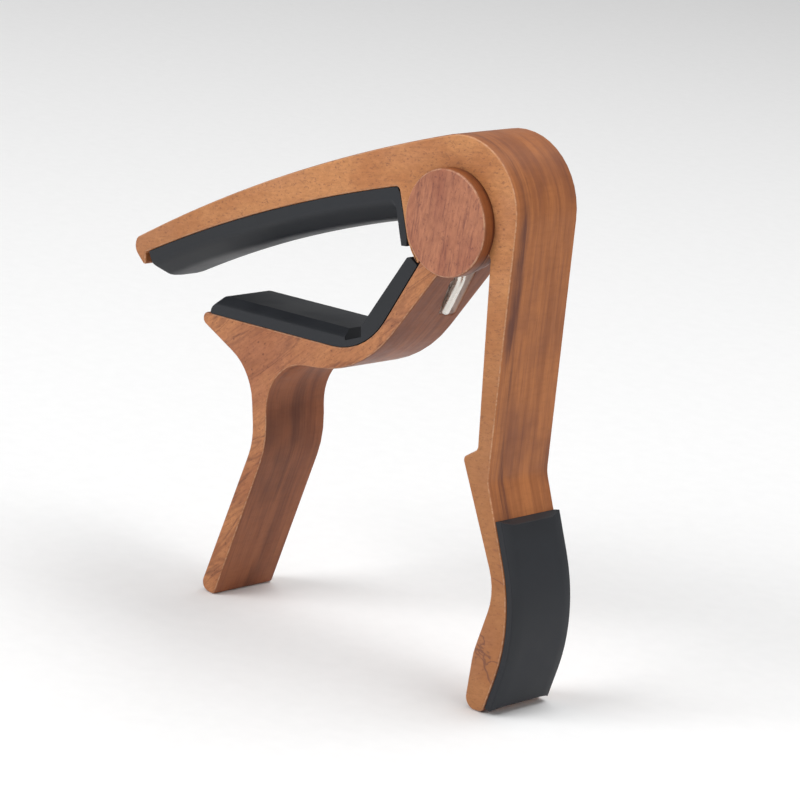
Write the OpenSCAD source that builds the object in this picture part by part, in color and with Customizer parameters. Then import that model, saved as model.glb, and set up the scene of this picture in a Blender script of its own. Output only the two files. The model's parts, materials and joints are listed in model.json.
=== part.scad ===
// Trigger capo: a sprung clamp for a guitar neck.
// Profiles are drawn as [x, z] with the pivot axis at the origin. They are then
// turned by stand_tilt, so that the capo stands on the ends of its two handles.

/* [Castings] */
// Width of the upper arm, across the neck
casting_w = 14.4; // [14.4:0.2:16]
// Width of the lower jaw
jaw_w = 14; // [14:0.1:14.4]

/* [Pivot] */
// Diameter of the round caps over the pivot
cap_d = 17.5; // [17.5:0.1:18]
// How far each cap stands proud of the castings
cap_t = 2.4; // [2.2:0.1:3.4]
// Diameter of the steel pivot pin
pin_d = 4.2; // [3.6:0.1:4.6]
// Radial running clearance of the pin in the jaw
pin_gap = 0.05; // [0.02:0.01:0.1]
// Thickness of each ear of the upper arm
ear_t = 2.2; // [2:0.1:2.4]
// Thickness of the washers between the ears and the jaw
washer_t = 0.35; // [0.2:0.05:0.4]

/* [Spring] */
// Diameter of the spring wire
wire_d = 1.6; // [1.4:0.1:1.7]
// Mean radius of the spring coil
coil_r = 4.55; // [4.5:0.05:4.8]
// Distance from the mid plane to the tip of the leg that lies in the jaw
leg_tip_y = 2.3; // [2.2:0.1:2.6]
// Distance from the mid plane to the leg that bears on the handle
handle_leg_y = 3.4; // [3.2:0.1:3.5]

/* [Pads] */
// Width of the rubber pads
pad_w = 14; // [12:0.1:14]
// Depth of the fret pad under the arm
fret_pad_h = 5.6; // [4:0.1:6]
// Depth of the upright part of each pad's sides
pad_base_h = 2; // [1.5:0.1:2.2]
// How far the fret pad's pressing face is set in from its sides
pad_inset = 1.8; // [1:0.1:2.5]
// The same for the pad under the neck
neck_pad_inset = 1; // [0.6:0.1:1.5]
// Thickness of the grip pad on the handle
grip_pad_t = 1.4; // [1:0.1:2]

/* [Hidden] */

half_w = casting_w / 2;
jaw_half_w = jaw_w / 2;
cap_r = cap_d / 2;

// Clearances: ear inside the cap's edge, hub recess, jaw's shoulder, lug, and beside the washers
ear_inset = 0.35;
recess_gap = 0.1;
shoulder_gap = 0.05;
lug_gap = 0.4;
side_gap = 0.05;
// Clearances of the spring: over the boss, in front of the coil, and in the leg's slot
boss_gap = 0.25;
coil_gap = 0.15;
slot_gap = 0.1;
// Glue under each pad
glue_gap = 0.03;
// How far a cut runs past the face it opens
past = 1;
// How far the lug's root reaches into the jaw's arm, and the washers' rims stay inside the lug
lug_root = 1;
washer_inset = 1;

ear_r = cap_r - ear_inset;
ear_y = half_w - ear_t;
cavity_r = ear_r + recess_gap;
shoulder_r = cap_r + shoulder_gap;
lug_r = ear_r - lug_gap;
tongue_y = ear_y - washer_t - side_gap;
washer_r = lug_r - washer_inset;
washer_hole_r = pin_d / 2 + recess_gap;
pin_r = pin_d / 2;
bore_r = pin_r + pin_gap;
boss_r = coil_r - wire_d / 2 - boss_gap;

// Pin head, and the clip in its groove at the other end
head_r = 4.2;
head_t = 1.3;
tail_t = 1.4;
clip_r = 3.7;
clip_t = 0.6;
clip_y = half_w + 0.1;
clip_eye_r = 0.55;
clip_eye_x = 2.6;
groove_r = 1.6;
cap_hollow_r = 5;
cap_hollow_t = cap_t - 0.6;
cap_chamfer = 0.3;

// Turn, in degrees, that brings the ends of both handles down to the floor
stand_tilt = 8.25;
// Place of the pivot axis over the middle of the standing capo
pivot_x = 26.34;
pivot_z = 77.6;

// The jaw's arm runs from the pivot along this direction
arm_angle = 226.4;
arm_dir = [cos(arm_angle), sin(arm_angle)];
arm_side = [-arm_dir.y, arm_dir.x];

// The spring's jaw leg: how far it reaches along the arm, how far it lies beside the line from
// the pivot, and how much it slants across the arm
leg_end = 19.75;
leg_offset = 3.25;
leg_slant = 0.28;
leg_bend_r = 5;
// The slot that holds the leg: it is slot_front wide in front of it and slot_rear behind it,
// narrows by slot_taper towards the leg's tip, and its slanted end runs past the tip
slot_front = 1.9;
slot_taper = 0.8;
slot_rear = 2.7;
slot_past = 2;
slot_len = 9;
slot_open = 7;
slot_corner = 1.3;
slot_corner_r = 0.4;
// The ramp from the slot up to the coil: where it starts above the coil's tangent point, where
// it passes the bend, and its two ends along the arm
ramp_rise = 4;
ramp_bend = 1.6;
ramp_top = 6;
ramp_end = 12;
ramp_depth = 5;
// The coil, from the jaw leg to the handle leg
coil_turns = 2;
coil_steps = 62;
wire_sides = 12;
jaw_leg_angle = 179.4;
handle_leg_angle = 4.9;
handle_leg_len = 15.9;

$fn = 96;

// Corner q of an outline, rounded to the radius q[2], between its neighbours p and s
function flat(p) = [p.x, p.y];
function unit(v) = v / norm(v);
function turned(v, a) = [v.x * cos(a) - v.y * sin(a), v.x * sin(a) + v.y * cos(a)];
function corner(p, q, s) =
    let (u = unit(flat(p) - flat(q)),
         w = unit(flat(s) - flat(q)),
         turn = 180 - acos(u * w),
         side = sign(cross(-u, w)),
         first = flat(q) + u * q[2] * tan(turn / 2),
         middle = first + side * q[2] * [u.y, -u.x],
         steps = ceil(max(turn / 9, q[2] * turn * PI / 180 / 3)))
    q[2] == 0 ? [flat(q)]
              : [for (i = [0:steps]) middle + turned(first - middle, side * turn * i / steps)];
function outline(c) =
    let (n = len(c))
    [for (i = [0:n - 1]) each corner(c[(i + n - 1) % n], c[i], c[(i + 1) % n])];
function lowered(c, h) = [for (p = c) [p.x, p.y - h, p[2]]];

// Profiles: [x, z, corner radius]
arm_seat = [[-73.6, -11.31, 0], [-43.7, -0.45, 330], [-12.5, 4.75, 0.8]];
throat = [-10.75, -3.6, 3];
arm_profile = concat(
    [[-74.35, -11.58, 0.4], [-74.25, -14.5, 0.5], [-77.25, -11.25, 2.2], [-76.8, -9.15, 1.5],
     [-38.6, 6.8, 360], [15.6, 17, 12.1],
     [7.4, -41.2, 5], [12.95, -64, 30], [6.3, -79.1, 1.2], [2.1, -79, 2],
     [4.1, -69.5, 12], [8.8, -58.8, 10], [1.75, -37.7, 0.9], [5, -36.1, 1],
     [7.6, -5, 0], [0, 0, 0], [-5.2, -3.4, 0], [-8.45, -7.57, 0.3], [-9.85, -5.8, 9],
     throat, arm_seat[2], arm_seat[1]]);

jaw_profile = [
    [-59.6, -20.45, 1], [-20.6, -23.6, 14], [-2.42, 0.04, 0], [2.1, -2.5, 0],
    [-21.4, -27.2, 24], [-44.2, -27.2, 9], [-44.15, -42, 17], [-57.8, -70.1, 0.9],
    [-61.4, -69.2, 1.6], [-47.55, -41.6, 12], [-48, -29.4, 10], [-59.9, -22.2, 1.2]];

// An extrusion of a profile from y0 to y1, across the capo
module slab(y0, y1) {
    translate([0, y1, 0]) rotate([90, 0, 0]) linear_extrude(y1 - y0) children();
}

// A round bar about the pivot axis
module round_bar(r, y0, y1) {
    translate([0, y0, 0]) rotate([-90, 0, 0]) cylinder(r = r, h = y1 - y0);
}

// A straight cut between two profile points, of the given half width
module channel(p, q, half, y0, y1) {
    side = half * unit([p.y - q.y, q.x - p.x]);
    slab(y0, y1) polygon([p + side, q + side, q - side, p - side]);
}

// From the drawn profile to the standing capo
module standing() {
    translate([pivot_x, 0, pivot_z]) rotate([0, -stand_tilt, 0]) children();
}

function on_arm(along, beside) = along * arm_dir + beside * arm_side;

module upper_arm() {
    color("peru")
    standing()
    difference() {
        union() {
            difference() {
                slab(-half_w, half_w) polygon(outline(arm_profile));
                round_bar(cavity_r, -ear_y, ear_y);
            }
            round_bar(ear_r, -half_w, -ear_y);
            round_bar(ear_r, ear_y, half_w);
        }
        round_bar(bore_r, -half_w - past, half_w + past);
    }
}

// The jaw leg leaves the coil on a tangent, and bends on to the line of the arm
function coil_point(a) = coil_r * [cos(a), sin(a)];
function coil_heading(a) = [sin(a), -cos(a)];
leg_top = coil_point(jaw_leg_angle);
leg_drop = (leg_offset - leg_top * arm_side) / (-coil_heading(jaw_leg_angle) * arm_side);
leg_bend = leg_top - leg_drop * coil_heading(jaw_leg_angle);
// Its distance from the mid plane at a profile point, and that of the lug's inner face
function leg_y(p) = leg_tip_y - leg_slant * (leg_end - p * arm_dir);
lug_y = leg_y(leg_top) - wire_d / 2 - coil_gap;

// The slot for the leg is a slanted strip, cut down to a floor under the leg and, past the
// bend, down along a ramp that follows the leg up to the coil
module leg_strip(floor_offset, len) {
    tip = 2 * slot_gap;
    strip = [[-len, -slot_front, 0], [-slot_corner, slot_taper - slot_front, slot_corner_r],
             [tip, -wire_d / 2, slot_corner_r], [slot_past, slot_rear, slot_corner_r],
             [-len, slot_rear, 0]];
    rotate([0, -arm_angle, 0]) translate([leg_end, leg_tip_y, floor_offset])
        rotate([0, 0, atan(leg_slant)]) linear_extrude(slot_open - floor_offset)
            polygon(outline(strip));
}

module leg_slot() {
    half = wire_d / 2 + slot_gap;
    heading = coil_heading(jaw_leg_angle);
    front = (half + slot_gap) * [-heading.y, heading.x];
    inner_bend = (half + 3 * slot_gap) * unit(heading + arm_dir);
    ramp = [leg_top - ramp_rise * heading + front, leg_bend + ramp_bend * heading + front,
            leg_bend + inner_bend, on_arm(ramp_end, leg_offset - half),
            on_arm(ramp_end, slot_open), on_arm(ramp_top, slot_open)];
    leg_strip(leg_offset - half, slot_len);
    intersection() {
        leg_strip(-ramp_depth, leg_end);
        slab(lug_y, jaw_half_w) polygon(ramp);
    }
}

module lower_jaw() {
    color("sienna")
    standing()
    difference() {
        union() {
            difference() {
                slab(-jaw_half_w, jaw_half_w) polygon(outline(jaw_profile));
                round_bar(shoulder_r, -half_w - past, half_w + past);
            }
            intersection() {
                slab(-tongue_y, lug_y) polygon(outline(jaw_profile));
                round_bar(shoulder_r + lug_root, -tongue_y, lug_y);
            }
            round_bar(lug_r, -tongue_y, lug_y);
            round_bar(boss_r, -tongue_y, tongue_y);
        }
        leg_slot();
        round_bar(bore_r, -half_w - past, half_w + past);
    }
}

module pivot_pin() {
    color("silver")
    standing()
    difference() {
        union() {
            round_bar(pin_r, -half_w - head_t, half_w + tail_t);
            round_bar(head_r, -half_w - head_t, -half_w);
        }
        difference() {
            round_bar(pin_r + past, clip_y - side_gap, clip_y + clip_t + side_gap);
            round_bar(groove_r, clip_y - past, clip_y + clip_t + past);
        }
    }
}

module retaining_clip() {
    mouth = [[-1.3, 0], [1.3, 0], [1.9, -clip_r - past], [-1.9, -clip_r - past]];
    color("dimgray")
    standing()
    difference() {
        round_bar(clip_r, clip_y, clip_y + clip_t);
        round_bar(groove_r, clip_y - past, clip_y + clip_t + past);
        slab(clip_y - past, clip_y + clip_t + past) polygon(mouth);
        for (side = [-1, 1])
            translate([side * clip_eye_x, 0, 0])
                round_bar(clip_eye_r, clip_y - past, clip_y + clip_t + past);
    }
}

module washer(y) {
    color("ivory")
    standing()
    difference() {
        round_bar(washer_r, y, y + washer_t);
        round_bar(washer_hole_r, y - past, y + washer_t + past);
    }
}

module washer_front() {
    washer(-ear_y);
}

module washer_rear() {
    washer(ear_y - washer_t);
}

// A cap is drawn as a half section and turned about the pivot axis
module cap() {
    rotate_extrude()
        polygon([[cap_hollow_r, 0], [cap_r, 0], [cap_r, cap_t - cap_chamfer],
                 [cap_r - cap_chamfer, cap_t], [0, cap_t], [0, cap_hollow_t],
                 [cap_hollow_r, cap_hollow_t]]);
}

module cap_front() {
    color("rosybrown")
    standing() translate([0, -half_w, 0]) rotate([90, 0, 0]) cap();
}

module cap_rear() {
    color("rosybrown")
    standing() translate([0, half_w, 0]) rotate([-90, 0, 0]) cap();
}

// Centre line of the spring: jaw leg, bend, coil and handle leg
function at_y(p, y) = [p.x, y, p.y];
coil_sweep = jaw_leg_angle - handle_leg_angle + 360 * coil_turns;
jaw_leg_tip = on_arm(leg_end, leg_offset);
jaw_leg_path = [for (p = concat([jaw_leg_tip],
                                corner(jaw_leg_tip, [leg_bend.x, leg_bend.y, leg_bend_r], leg_top)))
                at_y(p, leg_y(p))];
coil_path = [for (i = [0:coil_steps])
             at_y(coil_point(jaw_leg_angle - coil_sweep * i / coil_steps),
                  leg_y(leg_top) + (handle_leg_y - leg_y(leg_top)) * i / coil_steps)];
handle_leg_path = [at_y(coil_point(handle_leg_angle)
                        + handle_leg_len * coil_heading(handle_leg_angle), handle_leg_y)];
spring_path = concat(jaw_leg_path, coil_path, handle_leg_path);

module wire(path, d, sides) {
    last = len(path) - 1;
    rings = [for (i = [0:last])
             let (t = unit(path[min(i + 1, last)] - path[max(i - 1, 0)]),
                  m = unit(cross(t, [0, 1, 0])),
                  b = cross(t, m))
             for (k = [0:sides - 1])
             path[i] + d / 2 * (cos(360 * k / sides) * m + sin(360 * k / sides) * b)];
    walls = [for (i = [0:last - 1]) for (k = [0:sides - 1])
             [(i + 1) * sides + k, (i + 1) * sides + (k + 1) % sides,
              i * sides + (k + 1) % sides, i * sides + k]];
    start = [for (k = [0:sides - 1]) k];
    end = [for (k = [0:sides - 1]) last * sides + sides - 1 - k];
    polyhedron(points = rings, faces = concat([start, end], walls), convexity = 6);
}

module torsion_spring() {
    color("lightgray")
    standing() wire(spring_path, wire_d, wire_sides);
}

// Fret pad: an upright base against the arm, a narrower pressing part and a throat lip
lip = [[-12.53, 4.72, 0.8], [-10.78, -3.6, 3], [-10.9, -4.9, 0], [-12.2, -4.9, 0.6], [-13.65, 3, 0]];
module fret_pad() {
    seat = lowered(arm_seat, glue_gap);
    base = concat([seat[0], seat[1]], lip,
                  [lowered(arm_seat, pad_base_h)[1], [-73.2, -13.2, 0.3]]);
    press = [[-72.6, -12.4, 0], [-43.7, -2.6, 0], [-13.4, 3.5, 0], [-13.1, 4.5 - fret_pad_h, 0.4],
             [-43.2, -0.2 - fret_pad_h, 290], [-69.9, -10 - fret_pad_h, 0.8], [-72.6, -13.3, 0]];
    color("darkslategray")
    standing()
    union() {
        slab(-pad_w / 2, pad_w / 2) polygon(outline(base));
        slab(pad_inset - pad_w / 2, pad_w / 2 - pad_inset) polygon(outline(press));
    }
}

// Neck pad: a base along the jaw, a raised pressing block and a guard up the arm
module neck_pad() {
    seat = [[-57.6, -20.57, 0], [-20.63, -23.55, 13.9], [-8.5, -7.77, 0]];
    guard = [[-10.45, -6.3, 0.8], [-21.3, -19, 0.3], [-21.3, -20.7, 0.3]];
    base = concat(seat, guard, [[-25.2, -21.3, 0], [-57.6, -18.8, 1]]);
    press = [[-57.2, -20, 0], [-25.3, -22, 0], [-24.9, -20.3, 0.3], [-56.5, -17.3, 2]];
    color("darkslategray")
    standing()
    union() {
        slab(-pad_w / 2, pad_w / 2) polygon(outline(base));
        slab(neck_pad_inset - pad_w / 2, pad_w / 2 - neck_pad_inset) polygon(outline(press));
    }
}

// Grip pad: a band of even thickness round the handle's outer side
module grip_pad() {
    inner = [[8.9, -47.2, 0], [13, -64, 30], [6.6, -78.5, 0]];
    outer = [[6.9 + grip_pad_t, -79.3, 0.5], [13.05 + grip_pad_t, -64, 30 + grip_pad_t],
             [8.93 + grip_pad_t, -47.1, 0.5]];
    color("darkslategray")
    standing() slab(-pad_w / 2, pad_w / 2) polygon(outline(concat(inner, outer)));
}

upper_arm();
lower_jaw();
pivot_pin();
retaining_clip();
washer_front();
washer_rear();
cap_front();
cap_rear();
torsion_spring();
fret_pad();
neck_pad();
grip_pad();
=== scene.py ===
import json
from math import acos, cos, pi, radians, sin, tan

import bmesh
import bpy
from mathutils import Matrix, Vector


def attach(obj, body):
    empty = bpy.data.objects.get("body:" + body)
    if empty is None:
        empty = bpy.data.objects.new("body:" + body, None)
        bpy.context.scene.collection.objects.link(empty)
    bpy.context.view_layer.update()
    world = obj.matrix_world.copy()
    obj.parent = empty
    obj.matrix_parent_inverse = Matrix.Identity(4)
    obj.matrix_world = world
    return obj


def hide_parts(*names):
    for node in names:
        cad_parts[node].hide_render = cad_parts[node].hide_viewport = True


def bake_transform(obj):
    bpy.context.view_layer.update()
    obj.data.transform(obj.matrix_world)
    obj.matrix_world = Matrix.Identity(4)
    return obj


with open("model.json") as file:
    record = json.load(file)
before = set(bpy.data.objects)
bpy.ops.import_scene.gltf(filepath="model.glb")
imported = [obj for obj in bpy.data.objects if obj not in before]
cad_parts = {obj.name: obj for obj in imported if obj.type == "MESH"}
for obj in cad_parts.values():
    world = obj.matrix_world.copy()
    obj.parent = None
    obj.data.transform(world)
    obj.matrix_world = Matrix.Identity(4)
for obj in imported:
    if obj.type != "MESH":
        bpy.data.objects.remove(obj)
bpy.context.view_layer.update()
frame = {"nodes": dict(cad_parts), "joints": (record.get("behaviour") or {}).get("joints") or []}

MM = 0.001

# ---------------------------------------------------------------- the drawn profile's place
# Profiles are in mm as (x, z), with the pivot axis at the origin. The capo then stands on
# the ends of its two handles, turned by STAND_TILT.
STAND_TILT = radians(8.25)
PIVOT = Vector(frame["joints"][0]["pos_m"])
# Direction of the jaw's diagonal arm in the profile, away from the pivot
ARM_ANGLE = radians(226.4)


def place(x, y, z):
    """A profile point in mm, as a point of the row frame in metres."""
    turned = Vector((x * cos(STAND_TILT) - z * sin(STAND_TILT), y,
                     x * sin(STAND_TILT) + z * cos(STAND_TILT)))
    return PIVOT + turned * MM


def rounded(points, steps):
    """(x, z, radius) corners as a list of Vectors, each corner an arc of that radius.

    The two ends of the line, and corners of radius 0, stay sharp.
    """
    out = []
    last = len(points) - 1
    for i, (x, z, radius) in enumerate(points):
        here = Vector((x, z))
        if radius == 0 or i in (0, last):
            out.append(here)
            continue
        before = (Vector(points[i - 1][:2]) - here).normalized()
        after = (Vector(points[i + 1][:2]) - here).normalized()
        half_turn = (pi - acos(max(-1, min(1, before.dot(after))))) / 2
        start = here + before * radius * tan(half_turn)
        centre = here + (before + after).normalized() * radius / cos(half_turn)
        spoke = start - centre
        side = 1 if before.x * after.y - before.y * after.x < 0 else -1
        for k in range(steps + 1):
            angle = side * 2 * half_turn * k / steps
            turn = Matrix.Rotation(angle, 2)
            out.append(centre + turn @ spoke)
    return out


def spread(line, count):
    """The same line as count points, evenly spaced along it."""
    lengths = [0.0]
    for a, b in zip(line, line[1:]):
        lengths.append(lengths[-1] + (b - a).length)
    out, i = [], 0
    for k in range(count):
        target = lengths[-1] * k / (count - 1)
        while i < len(line) - 2 and lengths[i + 1] < target:
            i += 1
        share = (target - lengths[i]) / max(lengths[i + 1] - lengths[i], 1e-9)
        out.append(line[i].lerp(line[i + 1], min(share, 1)))
    return out


def offset(line, distance):
    """The line moved to its left by distance."""
    out = []
    for i, p in enumerate(line):
        along = (line[min(i + 1, len(line) - 1)] - line[max(i - 1, 0)]).normalized()
        out.append(p + distance * Vector((-along.y, along.x)))
    return out


# ---------------------------------------------------------------- mesh helpers
# A bar's ends are chamfered by this share of its radius
END_CHAMFER = 0.35
# Rounded edges: the number of steps round them, and how sharp an edge has to be to get one
EDGE_SEGMENTS = 3
EDGE_ANGLE = radians(28)
# A CAD mesh's split points are joined below this distance in metres, and its triangles within
# this angle of each other become one flat face
WELD_REACH = 1e-6
FLAT_ANGLE = radians(0.2)


def new_object(name, verts, faces):
    """An object in the scene from points in metres, with its faces turned outwards."""
    mesh = bpy.data.meshes.new(name)
    mesh.from_pydata([tuple(v) for v in verts], [], faces)
    bm = bmesh.new()
    bm.from_mesh(mesh)
    bmesh.ops.recalc_face_normals(bm, faces=bm.faces)
    bm.to_mesh(mesh)
    bm.free()
    obj = bpy.data.objects.new(name, mesh)
    bpy.context.scene.collection.objects.link(obj)
    return obj


def skin(rings, count):
    """Faces that close a body through rings of count points each, with a flat face at both ends."""
    faces = []
    for r in range(rings - 1):
        for k in range(count):
            a, b = r * count + k, r * count + (k + 1) % count
            faces.append((a, b, b + count, a + count))
    faces.append(tuple(range(count)))
    faces.append(tuple(range((rings - 1) * count, rings * count)))
    return faces


def loft_across(name, rings):
    """A closed mesh through rings of equal length, each (y, outline) in mm, from front to back."""
    verts = [place(p.x, y, p.y) for y, outline in rings for p in outline]
    return new_object(name, verts, skin(len(rings), len(rings[0][1])))


def tube(name, path, radius, sides):
    """A round bar along path, in metres, with chamfered ends."""
    rings = []
    last = len(path) - 1
    for i, p in enumerate(path):
        along = (path[min(i + 1, last)] - path[max(i - 1, 0)]).normalized()
        across = along.cross(Vector((0, 1, 0))).normalized()
        up = along.cross(across)
        rings.append((p, along, across, up, radius))
    chamfer = END_CHAMFER * radius
    first, final = rings[0], rings[-1]
    rings[0] = (first[0] + first[1] * chamfer, *first[1:])
    rings[-1] = (final[0] - final[1] * chamfer, *final[1:])
    rings.insert(0, (*first[:4], radius - chamfer))
    rings.append((*final[:4], radius - chamfer))
    verts = []
    for p, _, across, up, r in rings:
        for k in range(sides):
            angle = 2 * pi * k / sides
            verts.append(p + r * (cos(angle) * across + sin(angle) * up))
    return new_object(name, verts, skin(len(rings), sides))


def soften(obj, width, weld=False):
    """Round an object's sharp edges by width, in mm, and keep its flat faces flat.

    weld first joins a CAD mesh's triangles again, and drops its stored normals. The rounding
    is in modifiers, so the mesh's own points stay where they are.
    """
    for polygon in obj.data.polygons:
        polygon.use_smooth = True
    if weld:
        if obj.data.attributes.get("custom_normal"):
            obj.data.attributes.remove(obj.data.attributes["custom_normal"])
        obj.modifiers.new("weld", "WELD").merge_threshold = WELD_REACH
        planar = obj.modifiers.new("planar", "DECIMATE")
        planar.decimate_type = "DISSOLVE"
        planar.angle_limit = FLAT_ANGLE
    bevel = obj.modifiers.new("bevel", "BEVEL")
    bevel.width = width * MM
    bevel.segments = EDGE_SEGMENTS
    bevel.limit_method = "ANGLE"
    bevel.angle_limit = EDGE_ANGLE
    bevel.use_clamp_overlap = not weld
    bevel.miter_outer = "MITER_ARC"
    normals = obj.modifiers.new("normals", "WEIGHTED_NORMAL")
    normals.keep_sharp = True


# ---------------------------------------------------------------- material helpers
class Shader:
    """A material's node tree, with short calls for the nodes used here."""

    def __init__(self, name):
        self.material = bpy.data.materials.new(name)
        self.material.use_nodes = True
        self.tree = self.material.node_tree
        self.principled = self.tree.nodes["Principled BSDF"]
        coordinates = self.add("ShaderNodeTexCoord")
        self.place = coordinates.outputs["Object"]
        self.normal = coordinates.outputs["Normal"]

    def add(self, kind, **settings):
        """A new node with its settings."""
        node = self.tree.nodes.new(kind)
        for key, value in settings.items():
            setattr(node, key, value)
        return node

    def link(self, source, target):
        """Feed a socket from another node's output, or set it to a plain value."""
        if hasattr(source, "is_output"):
            self.tree.links.new(source, target)
        else:
            target.default_value = source

    def set(self, **values):
        """Feed or set the sockets of the principled shader, with _ for each blank in a name."""
        for key, value in values.items():
            self.link(value, self.principled.inputs[key.replace("_", " ")])

    def math(self, operation, a, b=0.0):
        """a and b put together by a Math node."""
        node = self.add("ShaderNodeMath", operation=operation)
        self.link(a, node.inputs[0])
        self.link(b, node.inputs[1])
        return node.outputs[0]

    def times(self, a, b):
        """a times b."""
        return self.math("MULTIPLY", a, b)

    def away(self, value, centre):
        """How far a value is from centre, to either side."""
        return self.math("ABSOLUTE", self.math("SUBTRACT", value, centre))

    def dot(self, vector):
        """How far the object coordinates reach along a direction of the row frame."""
        node = self.add("ShaderNodeVectorMath", operation="DOT_PRODUCT")
        self.link(self.place, node.inputs[0])
        node.inputs[1].default_value = vector
        return node.outputs["Value"]

    def turned(self, angle, scale):
        """Object coordinates turned about Y by angle, in degrees, and then stretched."""
        turn = self.add("ShaderNodeMapping")
        turn.inputs["Rotation"].default_value = (0, radians(angle), 0)
        self.link(self.place, turn.inputs["Vector"])
        stretch = self.add("ShaderNodeMapping")
        stretch.inputs["Scale"].default_value = scale
        self.link(turn.outputs[0], stretch.inputs["Vector"])
        return stretch.outputs[0]

    def noise(self, vector, scale=1.0, detail=4.0, roughness=0.55, distortion=0.0):
        """Soft noise from about 0.3 to 0.7."""
        node = self.add("ShaderNodeTexNoise")
        self.link(vector, node.inputs["Vector"])
        node.inputs["Scale"].default_value = scale
        node.inputs["Detail"].default_value = detail
        node.inputs["Roughness"].default_value = roughness
        node.inputs["Distortion"].default_value = distortion
        return node.outputs[0]

    def ramp(self, value, low, high, out_low=0.0, out_high=1.0):
        """A smooth step from out_low to out_high, as value goes from low to high."""
        node = self.add("ShaderNodeMapRange", interpolation_type="SMOOTHSTEP")
        self.link(value, node.inputs["Value"])
        node.inputs["From Min"].default_value = low
        node.inputs["From Max"].default_value = high
        node.inputs["To Min"].default_value = out_low
        node.inputs["To Max"].default_value = out_high
        return node.outputs[0]

    def mix(self, share, a, b):
        """Colour a with a share of colour b over it, each an output or three numbers."""
        node = self.add("ShaderNodeMix", data_type="RGBA")
        self.link(share, node.inputs[0])
        # Inputs 6 and 7 and output 2 are the Mix node's colours
        for socket, value in ((node.inputs[6], a), (node.inputs[7], b)):
            self.link(value if hasattr(value, "is_output") else (*value, 1), socket)
        return node.outputs[2]

    def bump(self, height, distance, strength):
        """Relief of distance metres, at a strength from 0 to 1."""
        node = self.add("ShaderNodeBump")
        node.inputs["Strength"].default_value = strength
        node.inputs["Distance"].default_value = distance
        self.link(height, node.inputs["Height"])
        self.set(Normal=node.outputs[0])


def linear(level):
    """One colour channel as it looks, 0 to 255, as the linear value that shaders take."""
    share = level / 255
    return share / 12.92 if share <= 0.04045 else ((share + 0.055) / 1.055) ** 2.4


def srgb(r, g, b):
    """A colour given as it looks, 0 to 255."""
    return (linear(r), linear(g), linear(b))


def shade(tone, share):
    """A tone made darker, or lighter where share is over 1."""
    return tuple(share * c for c in tone)


# ---------------------------------------------------------------- wood-grain film
# Tone of the painted highlight on the film's rounded edges
EDGE_HIGHLIGHT_TONE = srgb(216, 172, 140)
# The casting's bare metal, in the slot that is cut into the jaw for the spring's leg
BARE_METAL = srgb(206, 190, 182)
# Where that slot is, in metres: less than this far beside the line from the pivot along the arm,
# this far out along it, and this far to either side of the mid plane. Each edge of the mask
# fades between two values.
SLOT_SKIN = (0.0029, 0.0032)
SLOT_REACH = (0.0212, 0.0218)
SLOT_HALF = (0.0058, 0.0062)

# Sizes of the flat sides' figure, in noise cells per metre: along the grain, across the part
# and square to both. The swirls lie steeper than the grain.
CLOUD = (70, 70, 130)
PATCH = (40, 40, 60)
MOTTLE = (700, 700, 1500)
FIBRES = (170, 170, 2400)
SPECKS = (1300, 1300, 2600)
PORES = (420, 420, 640)
VEINS = (34, 34, 190)
SWIRLS = (150, 150, 70)
# The rims' figure is narrow across the part and drawn out along the rim, apart from the
# ripples, which lie across it
RIM_BROAD = (26, 420, 26)
RIM_STRIPES = (60, 1500, 60)
RIM_THREADS = (200, 5200, 200)
RIM_CLOUD = (60, 90, 60)
RIM_RIPPLES = (1500, 300, 1500)
# How far a rim's dark band wanders across the part, in metres for each unit of noise: a single
# printed streak, and a mirrored pair of painted shade lines at the cap's base, where it meets the hub
STREAK_DRIFT = 0.006
SHADE_PAIR_DRIFT = 0.0005


def pores(s, grain, patch):
    """Mask of small round pores, where patch is high."""
    cells = s.add("ShaderNodeTexVoronoi")
    s.link(s.turned(grain, PORES), cells.inputs["Vector"])
    cells.inputs["Scale"].default_value = 1
    return s.times(s.ramp(cells.outputs["Distance"], 0.06, 0.16, 1, 0), s.ramp(patch, 0.46, 0.62))


def veins(s, grain, fibres):
    """Mask of long thin lines along the grain, with a broad soft one beside each."""
    wander = s.noise(s.turned(grain, VEINS), detail=1.5, distortion=0.5)
    line = s.ramp(s.away(wander, 0.5), 0.002, 0.022, 0.8, 0)
    line = s.times(line, s.ramp(fibres, 0.35, 0.6, 0.2, 1))
    broad = s.ramp(s.away(wander, 0.56), 0.0, 0.035, 0.45, 0)
    return s.math("MAXIMUM", line, broad)


def knot_lines(s, grain, cloud, height):
    """Mask of short squiggles below height, where cloud is high."""
    swirl = s.noise(s.turned(90 - grain, SWIRLS), detail=3, distortion=1.2)
    line = s.ramp(s.away(swirl, 0.5), 0.004, 0.034, 1, 0)
    low = s.ramp(s.dot((0, 0, 1)), height * 0.8, height, 1, 0)
    return s.times(line, s.times(s.ramp(cloud, 0.49, 0.57), low))


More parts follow.
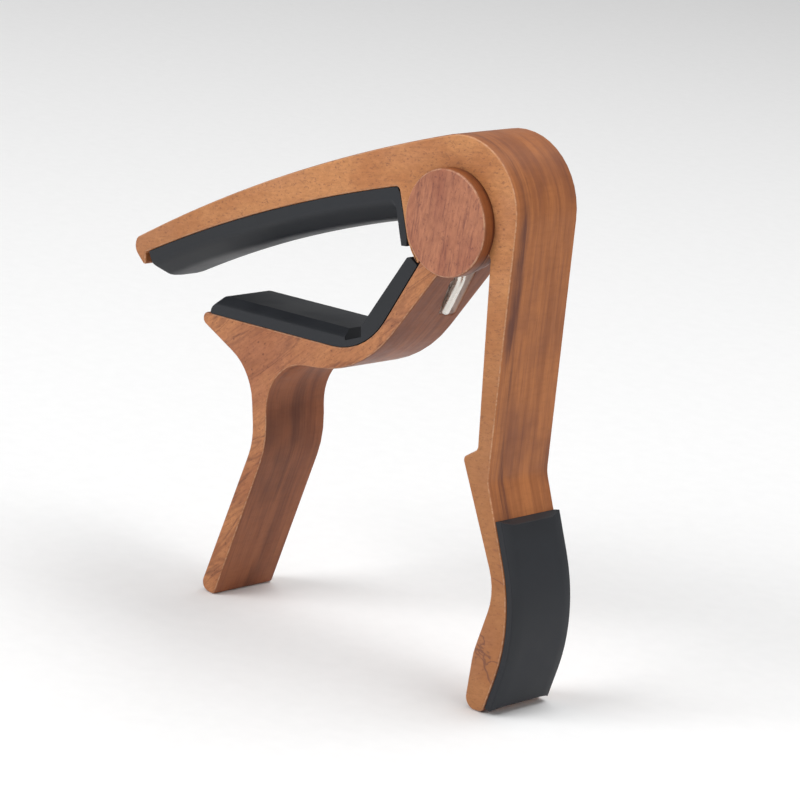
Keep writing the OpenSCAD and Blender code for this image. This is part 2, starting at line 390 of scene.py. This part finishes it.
def flat_side(s, grain, tones, fibre, vein, knots):
    """Colour of the flat sides, with the noises that its relief and gloss take too.

    grain is the direction of the fibres in degrees above +X. tones are light, mid, blush and dark.
    fibre and vein are how strongly fibres and veins show. knots, if any, is the height in metres
    below which squiggles show, and the wood is darker up to 2.5 times that height.
    """
    light, mid, blush, dark = tones
    cloud = s.noise(s.turned(grain, CLOUD), detail=3)
    patch = s.noise(s.turned(grain, PATCH), detail=2)
    mottle = s.noise(s.turned(grain, MOTTLE), detail=4, roughness=0.7)
    fibres = s.noise(s.turned(grain, FIBRES), detail=5, roughness=0.65)
    specks = s.noise(s.turned(grain, SPECKS), detail=3, roughness=0.7)
    color = s.mix(s.ramp(cloud, 0.36, 0.64), light, mid)
    color = s.mix(s.ramp(patch, 0.48, 0.7, 0, 0.6), color, blush)
    color = s.mix(s.ramp(mottle, 0.3, 0.72, 0, 0.42), color, shade(mid, 0.58))
    color = s.mix(s.ramp(specks, 0.54, 0.72, 0, 0.6), color, dark)
    color = s.mix(s.ramp(fibres, 0.48, 0.72, 0, fibre), color, dark)
    color = s.mix(s.times(pores(s, grain, patch), 0.6), color, dark)
    if vein:
        color = s.mix(s.times(veins(s, grain, fibres), vein), color, dark)
    if knots:
        low = s.ramp(s.dot((0, 0, 1)), 1.2 * knots, 2.5 * knots, 0.5, 0)
        color = s.mix(low, color, shade(mid, 0.55))
        color = s.mix(s.times(knot_lines(s, grain, cloud, knots), 0.65), color, dark)
    return color, mottle, fibres


def rim_band(s, tones, streak_or_base_shade):
    """Colour of the rims: stripes that follow the rim round every bend, and a dark band along it.

    The last argument is that band's place and half width across the part, in metres, its strength,
    and whether it lies at both sides of the mid plane. A single band is a printed streak. A mirrored
    pair is painted shade at the cap's base, where it meets the hub.
    """
    light, mid, dark = tones
    broad = s.noise(s.turned(0, RIM_BROAD), detail=3, roughness=0.6)
    stripes = s.noise(s.turned(0, RIM_STRIPES), detail=4, roughness=0.65)
    threads = s.noise(s.turned(0, RIM_THREADS), detail=3, roughness=0.6)
    cloud = s.noise(s.turned(0, RIM_CLOUD), detail=3)
    ripples = s.noise(s.turned(0, RIM_RIPPLES), detail=3)
    color = s.mix(s.ramp(broad, 0.38, 0.64), light, mid)
    color = s.mix(s.ramp(cloud, 0.45, 0.75, 0, 0.6), color, dark)
    color = s.mix(s.ramp(stripes, 0.46, 0.76, 0, 0.42), color, dark)
    color = s.mix(s.ramp(threads, 0.45, 0.7, 0, 0.3), color, shade(mid, 0.6))
    color = s.mix(s.ramp(ripples, 0.45, 0.7, 0, 0.14), color, shade(mid, 0.55))
    # The dark band: on the arm and the jaw it is a printed streak. On the caps it is a mirrored pair
    # of painted shade lines at the base, where the cap meets the hub.
    where, half, strength, mirrored = streak_or_base_shade
    across = s.dot((0, 1, 0))
    if mirrored:
        across = s.math("ABSOLUTE", across)
    drift = s.times(s.math("SUBTRACT", cloud, 0.5), SHADE_PAIR_DRIFT if mirrored else STREAK_DRIFT)
    across = s.math("ADD", s.math("SUBTRACT", across, where), drift)
    core = s.ramp(s.math("ABSOLUTE", across), half * 0.2, half, 1, 0)
    core = s.times(core, s.ramp(stripes, 0.36, 0.56, 0.35, 1))
    core = s.times(core, s.ramp(broad, 0.4, 0.56, 0.3, 1))
    return s.mix(s.times(core, strength), color, shade(dark, 0.75))


def wood_film(name, grain, side_tones, rim_tones, fibre, streak_or_base_shade, vein=0.0, knots=0.0, bare=None):
    """Printed wood grain under a satin lacquer, on the flat sides and on the rims.

    bare(s), if given, is a mask of where the film is missing and the cast metal shows.
    """
    s = Shader(name)
    side, mottle, fibres = flat_side(s, grain, side_tones, fibre, vein, knots)
    rim = rim_band(s, rim_tones, streak_or_base_shade)
    split = s.add("ShaderNodeSeparateXYZ")
    s.link(s.normal, split.inputs[0])
    sideways = s.math("ABSOLUTE", split.outputs["Y"])
    color = s.mix(s.ramp(sideways, 0.5, 0.85), rim, side)
    # Painted highlight: the film is painted lighter on the rounded edges between sides and rims, in
    # patches, standing in for light caught by those edges
    edge = s.times(s.ramp(sideways, 0.4, 0.65), s.ramp(sideways, 0.82, 0.97, 1, 0))
    color = s.mix(s.times(edge, s.ramp(mottle, 0.4, 0.62, 0.1, 0.5)), color, EDGE_HIGHLIGHT_TONE)
    if bare:
        color = s.mix(bare(s), color, BARE_METAL)
    s.set(Base_Color=color, Roughness=s.ramp(mottle, 0.3, 0.7, 0.4, 0.5))
    s.set(Specular_IOR_Level=0.2, Coat_Weight=0.06, Coat_Roughness=0.3)
    s.bump(s.math("ADD", s.times(fibres, 0.5), mottle), 0.02 * MM, 0.35)
    return s.material


def in_slot(s):
    """1 in the slot in the underside of the jaw's arm, and 0 on the skin of that underside.

    It is also 1 on the arm's throat side near the pivot, which shows when the jaws are open.
    """
    along = ARM_ANGLE + STAND_TILT
    beside = along + pi / 2
    along = Vector((cos(along), 0, sin(along)))
    beside = Vector((cos(beside), 0, sin(beside)))
    depth = s.ramp(s.math("SUBTRACT", s.dot(beside), beside.dot(PIVOT)), *SLOT_SKIN, 1, 0)
    reach = s.ramp(s.math("SUBTRACT", s.dot(along), along.dot(PIVOT)), *SLOT_REACH, 1, 0)
    inner = s.ramp(s.math("ABSOLUTE", s.dot((0, 1, 0))), *SLOT_HALF, 1, 0)
    return s.times(s.times(depth, reach), inner)


# ---------------------------------------------------------------- other materials
def rubber(name, color):
    """Matt moulded rubber with a fine grain."""
    s = Shader(name)
    grain = s.noise(s.place, scale=5200, detail=3)
    cloud = s.noise(s.place, scale=70, detail=3)
    s.set(Base_Color=s.mix(s.ramp(cloud, 0.3, 0.7), color, shade(color, 1.35)))
    s.set(Roughness=s.ramp(cloud, 0.35, 0.7, 0.46, 0.58), Specular_IOR_Level=0.33)
    s.bump(grain, 0.03 * MM, 0.4)
    return s.material


def steel(name, color, roughness, stretch):
    """Metal with fine tool marks: stretch is how tight they are along X, Y and Z."""
    s = Shader(name)
    marks = s.noise(s.turned(0, stretch), detail=4)
    s.set(Base_Color=s.mix(marks, shade(color, 0.85), color), Metallic=1.0)
    s.set(Roughness=s.ramp(marks, 0.3, 0.7, roughness * 0.8, roughness * 1.3))
    s.bump(marks, 0.01 * MM, 0.3)
    return s.material


def nylon(name):
    """Milky plastic, slightly cloudy."""
    s = Shader(name)
    cloud = s.noise(s.turned(0, (400, 400, 400)), detail=3)
    s.set(Base_Color=s.mix(cloud, (0.62, 0.6, 0.52), (0.72, 0.7, 0.62)))
    s.set(Roughness=s.ramp(cloud, 0.3, 0.7, 0.4, 0.5), Subsurface_Weight=0.1)
    s.bump(cloud, 0.02 * MM, 0.3)
    return s.material


ARM_WOOD = wood_film(
    "arm_wood", 12,
    (srgb(204, 142, 92), srgb(186, 122, 76), srgb(190, 133, 102), srgb(104, 66, 58)),
    (srgb(178, 112, 66), srgb(154, 94, 56), srgb(104, 62, 52)),
    fibre=0.16, knots=0.034, streak_or_base_shade=(-0.0048, 0.0016, 0.8, False))
JAW_WOOD = wood_film(
    "jaw_wood", 40,
    (srgb(190, 128, 84), srgb(168, 106, 70), srgb(174, 114, 86), srgb(90, 50, 44)),
    (srgb(152, 92, 60), srgb(132, 77, 50), srgb(86, 48, 37)),
    fibre=0.32, vein=0.65, streak_or_base_shade=(0.001, 0.0024, 0.25, False), bare=in_slot)
# The cap's rim band is painted shade: a mirrored pair of dark lines at its base, where it stands on
# the hub
CAP_WOOD = wood_film(
    "cap_wood", 86,
    (srgb(184, 122, 92), srgb(164, 102, 78), srgb(164, 100, 86), srgb(96, 54, 54)),
    (srgb(150, 88, 50), srgb(118, 66, 40), srgb(76, 40, 32)),
    fibre=0.6, vein=0.3, streak_or_base_shade=(0.0072, 0.0007, 0.85, True))
RUBBER = rubber("pad_rubber", (0.0122, 0.0138, 0.0172))
WIRE_STEEL = steel("wire_steel", (0.88, 0.85, 0.79), 0.3, (500, 2500, 500))
PIN_STEEL = steel("pin_steel", (0.6, 0.6, 0.58), 0.35, (2500, 300, 2500))
CLIP_STEEL = steel("clip_steel", (0.2, 0.2, 0.21), 0.45, (900, 900, 900))
NYLON = nylon("washer_nylon")

# ---------------------------------------------------------------- camera
# It looks from the right front, a little above, and is turned a little about its own axis.
# Its place is in metres, and its right side is squared up with the way it looks.
CAMERA_AT = (0.3857, -0.3995, 0.1956)
CAMERA_LOOK = Vector((-0.6582, 0.7035, -0.2682))
CAMERA_RIGHT = Vector((0.7066, 0.7002, 0.1025))
camera = bpy.data.objects.new("camera", bpy.data.cameras.new("camera"))
camera.data.lens = 154.35
camera.data.sensor_width = 36
camera.data.clip_start = 0.05
look = CAMERA_LOOK.normalized()
right = (CAMERA_RIGHT - CAMERA_RIGHT.dot(look) * look).normalized()
axes = Matrix((right, right.cross(look), -look)).transposed()
camera.matrix_world = Matrix.Translation(CAMERA_AT) @ axes.to_4x4()
bpy.context.scene.collection.objects.link(camera)
bpy.context.scene.camera = camera
bpy.context.scene.view_settings.view_transform = "Standard"

# ---------------------------------------------------------------- castings and hardware
# The material of each CAD node that is shown, and the rounding of its edges in mm
LOOKS = {
    "upper_arm": (ARM_WOOD, 0.45),
    "lower_jaw": (JAW_WOOD, 0.4),
    "cap_front": (CAP_WOOD, 0.15),
    "cap_rear": (CAP_WOOD, 0.15),
    "pivot_pin": (PIN_STEEL, 0.1),
    "retaining_clip": (CLIP_STEEL, 0.08),
    "washer_front": (NYLON, 0.05),
    "washer_rear": (NYLON, 0.05),
}
for node, (material, edge) in LOOKS.items():
    part = frame["nodes"][node]
    part.data.materials.clear()
    part.data.materials.append(material)
    soften(part, edge, weld=True)

# ---------------------------------------------------------------- torsion spring
# In mm, the same as the CAD spring's. A leg's angle is the place on the coil where it leaves.
WIRE_R = 0.8
WIRE_SIDES = 18
COIL_R = 4.55
COIL_TURNS = 2
COIL_STEPS = 120
HANDLE_LEG_ANGLE = radians(4.9)
HANDLE_LEG_LEN = 15.9
HANDLE_LEG_Y = 3.4
HANDLE_LEG_STEPS = 12
# The jaw's leg goes down, turns in a bend of LEG_BEND_R and then lies along the jaw's arm. It
# ends LEG_END out from the pivot, LEG_OFFSET beside the line from the pivot along the arm and
# LEG_TIP_Y behind the mid plane. It slants across the arm by LEG_SLANT for each mm along it.
JAW_LEG_ANGLE = radians(179.4)
LEG_END = 19.75
LEG_OFFSET = 3.25
LEG_TIP_Y = 2.3
LEG_SLANT = 0.28
LEG_BEND_R = 5
LEG_POINTS = 40
arm_dir = Vector((cos(ARM_ANGLE), sin(ARM_ANGLE)))
arm_side = Vector((-arm_dir.y, arm_dir.x))


def coil_point(angle):
    """The wire's middle on the coil, in the profile."""
    return COIL_R * Vector((cos(angle), sin(angle)))


def leg_y(p):
    """How far behind the mid plane the jaw's leg is at a profile point."""
    return LEG_TIP_Y - LEG_SLANT * (LEG_END - p.dot(arm_dir))


def spring_path():
    """The wire's middle line in metres: the jaw's leg, the coil, and the handle's leg."""
    heading = Vector((sin(JAW_LEG_ANGLE), -cos(JAW_LEG_ANGLE)))
    top = coil_point(JAW_LEG_ANGLE)
    drop = (LEG_OFFSET - top.dot(arm_side)) / -heading.dot(arm_side)
    bend = top - drop * heading
    tip = LEG_END * arm_dir + LEG_OFFSET * arm_side
    leg = rounded([(*tip, 0), (*bend, LEG_BEND_R), (*top, 0)], steps=10)
    path = [place(p.x, leg_y(p), p.y) for p in spread(leg, LEG_POINTS)]
    sweep = JAW_LEG_ANGLE - HANDLE_LEG_ANGLE + 2 * pi * COIL_TURNS
    for i in range(1, COIL_STEPS + 1):
        p = coil_point(JAW_LEG_ANGLE - sweep * i / COIL_STEPS)
        y = leg_y(top) + (HANDLE_LEG_Y - leg_y(top)) * i / COIL_STEPS
        path.append(place(p.x, y, p.y))
    heading = Vector((sin(HANDLE_LEG_ANGLE), -cos(HANDLE_LEG_ANGLE)))
    for i in range(1, HANDLE_LEG_STEPS + 1):
        p = coil_point(HANDLE_LEG_ANGLE) + heading * HANDLE_LEG_LEN * i / HANDLE_LEG_STEPS
        path.append(place(p.x, HANDLE_LEG_Y, p.y))
    return path


def finish_piece(piece, node, material):
    """Give a piece its material, and hide the CAD node that it stands for."""
    piece.data.materials.append(material)
    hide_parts(node)


spring = tube("spring_wire", spring_path(), WIRE_R * MM, WIRE_SIDES)
for polygon in spring.data.polygons:
    polygon.use_smooth = len(polygon.vertices) == 4
finish_piece(spring, "torsion_spring", WIRE_STEEL)
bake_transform(spring)

# ---------------------------------------------------------------- rubber pads
# In mm. Outlines run once round a pad's profile: its seat on the casting, then its open side.
PAD_HALF = 7
PAD_EDGE = 0.25
FRET_INSET = 3
NECK_INSET = 2.1
GRIP_INSET = 2.4
# The grip pad is a band this thick at its sides, and this much thicker at its outer face
GRIP_BAND = 1.15
GRIP_CROWN = 0.55
# Each side goes up straight, turns over in a round bend and then leans in to the pressing face:
# (share of the height above the band, share of the inset)
LEAN = ((0, 0), (0.1, 0.03), (0.22, 0.12), (0.36, 0.27), (1, 1))
# The fret pad's sides also turn over into its pressing face in a wide round bend
FRET_LEAN = (*LEAN[:-1], (0.78, 0.78), (0.88, 0.94), (0.95, 1.2), (1, 1.75))


def between(band, press, share):
    """Corners part of the way from one outline's corners to another's."""
    return [tuple(a + (b - a) * share for a, b in zip(p, q)) for p, q in zip(band, press)]


def leaning_pad(name, outline, inset, stages=LEAN):
    """A pad whose two sides lean in by inset. outline(share) gives its profile at each stage."""
    front = [(inset * lean - PAD_HALF, outline(share)) for share, lean in stages]
    back = [(-y, profile) for y, profile in reversed(front)]
    return loft_across(name, front + back)


def fret_pad():
    """The pad under the curved arm, with its thin lip down the throat."""
    seat = spread(rounded([(-73.55, -11.34, 0), (-43.7, -0.48, 330), (-12.55, 4.72, 0.8),
                           (-10.8, -3.6, 3), (-10.9, -4.9, 0)], steps=14), 60)
    band = [(-12.45, -3.2, 0), (-13.45, 2.7, 0.2), (-43.6, -2.4, 290), (-72.75, -13.2, 0)]
    press = [(-12.45, -3.2, 0), (-13.3, -1.1, 0.2), (-43.2, -5.5, 270), (-70.9, -15.75, 0)]
    lip_end = Vector((-12.1, -4.9))
    tip_end = Vector((-73.2, -12.3))

    def outline(share):
        lower = rounded(between(band, press, share), steps=20)
        return seat + [lip_end] + spread(lower, 44) + [tip_end]

    return leaning_pad("fret_pad_rubber", outline, FRET_INSET, FRET_LEAN)


def neck_pad():
    """The pad on the jaw, with its thin guard up the diagonal arm."""
    seat = spread(rounded([(-57.6, -20.57, 0), (-20.63, -23.55, 13.9), (-8.5, -7.77, 0)],
                          steps=16), 40)
    guard = rounded([(-8.5, -7.77, 0), (-10.45, -6.3, 0.8), (-21.3, -19, 0.3),
                     (-21.3, -20.8, 0)], steps=5)[1:]
    band = [(-25, -21.75, 0), (-25.05, -21.5, 0.1), (-57.5, -19, 1.3), (-57.75, -20.3, 0)]
    press = [(-25, -21.75, 0), (-26.1, -20.05, 0.1), (-57.3, -17.5, 2.2), (-57.75, -20.3, 0)]

    def outline(share):
        return seat + guard + rounded(between(band, press, share), steps=10)

    return leaning_pad("neck_pad_rubber", outline, NECK_INSET)


def grip_pad():
    """The band on the outer side of the rear handle, a little shorter towards its outer face."""
    inner = spread(rounded([(8.95, -47.3, 0), (13.0, -64, 30), (6.7, -78.4, 0)], steps=24), 40)
    fine = 200
    end_trim = 5

    def outline(share):
        outer = spread(offset(inner, GRIP_BAND + GRIP_CROWN * share), fine)
        trim = 1 + round(end_trim * share)
        return inner + spread(outer[trim:fine - trim], 40)[::-1]

    return leaning_pad("grip_pad_rubber", outline, GRIP_INSET)


for build, node, body in ((fret_pad, "fret_pad", "arm"), (neck_pad, "neck_pad", "jaw"),
                          (grip_pad, "grip_pad", "arm")):
    pad = build()
    soften(pad, PAD_EDGE)
    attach(pad, body)
    finish_piece(pad, node, RUBBER)

# ---------------------------------------------------------------- floor and light
FLOOR_HALF = 3
AMBIENT = 0.37
corners = [(-1, -1), (1, -1), (1, 1), (-1, 1)]
floor = new_object("floor", [(x * FLOOR_HALF, y * FLOOR_HALF, 0) for x, y in corners], [(0, 1, 2, 3)])
paper = Shader("floor_paper")
speckle = paper.noise(paper.place, scale=300, detail=2)
paper.set(Base_Color=paper.mix(speckle, (0.86, 0.86, 0.86), (0.9, 0.9, 0.9)), Roughness=0.9)
floor.data.materials.append(paper.material)

world = bpy.data.worlds.new("studio")
world.use_nodes = True
world.node_tree.nodes["Background"].inputs["Color"].default_value = (1, 1, 1, 1)
world.node_tree.nodes["Background"].inputs["Strength"].default_value = AMBIENT
bpy.context.scene.world = world

TARGET = Vector((0, 0, 0.05))


def softbox(name, position, size, power):
    """A rectangular light that faces the capo: place and size in metres, power in watts."""
    light = bpy.data.objects.new(name, bpy.data.lights.new(name, "AREA"))
    light.data.shape = "RECTANGLE"
    light.data.size, light.data.size_y = size
    light.data.energy = power
    light.location = position
    light.rotation_euler = (TARGET - Vector(position)).to_track_quat("-Z", "Y").to_euler()
    bpy.context.scene.collection.objects.link(light)


softbox("key", (-0.35, -0.9, 0.75), (0.7, 0.7), 8.6)
softbox("top", (0.2, 0.25, 0.95), (0.8, 0.6), 5.4)
softbox("right", (1.0, 0.1, 0.4), (0.5, 0.7), 1.8)
